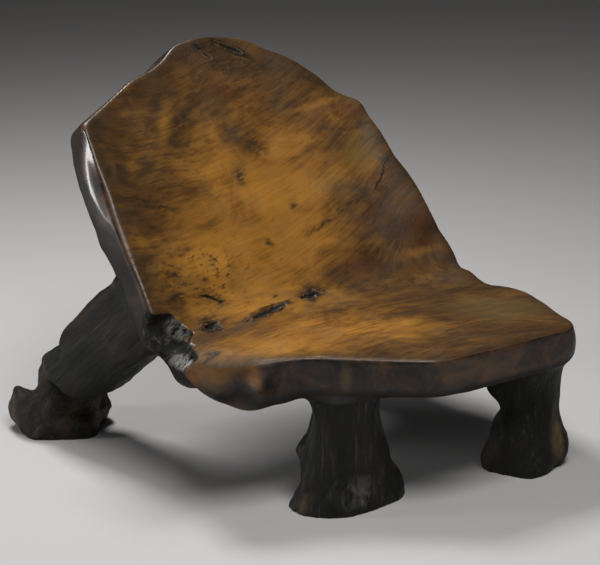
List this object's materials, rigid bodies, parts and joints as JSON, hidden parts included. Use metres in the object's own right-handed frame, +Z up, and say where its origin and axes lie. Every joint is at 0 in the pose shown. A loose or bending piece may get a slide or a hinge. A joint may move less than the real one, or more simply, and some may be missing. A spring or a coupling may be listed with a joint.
{
  "type": "low reclining chair",
  "caption": "Low armless reclining chair: a thick polished slab seat and a leaning, hollowed slab back on rough root-like legs.",
  "frame": {"origin": "on the floor, under the middle of the chair's bounding box", "axes": "+Z up; the sitter faces -Y; +X is the sitter's left"},
  "size_m": [0.7236, 0.7605, 0.6449],
  "materials": {
    "polished_wood": "satin",
    "root_wood": "rough matte",
    "joint_wood": "planed"
  },
  "bodies": {
    "root": {"seat_slab": "polished_wood", "back_slab": "polished_wood", "front_right_leg": "root_wood", "front_left_leg": "root_wood", "rear_right_leg": "root_wood", "rear_left_leg": "root_wood", "front_right_wedge": "joint_wood", "front_left_wedge": "joint_wood", "rear_right_wedge": "joint_wood", "rear_left_wedge": "joint_wood", "fold_tenon_right": "joint_wood", "fold_tenon_middle": "joint_wood", "fold_tenon_left": "joint_wood", "draw_pegs": "joint_wood"}
  },
  "joints": []
}
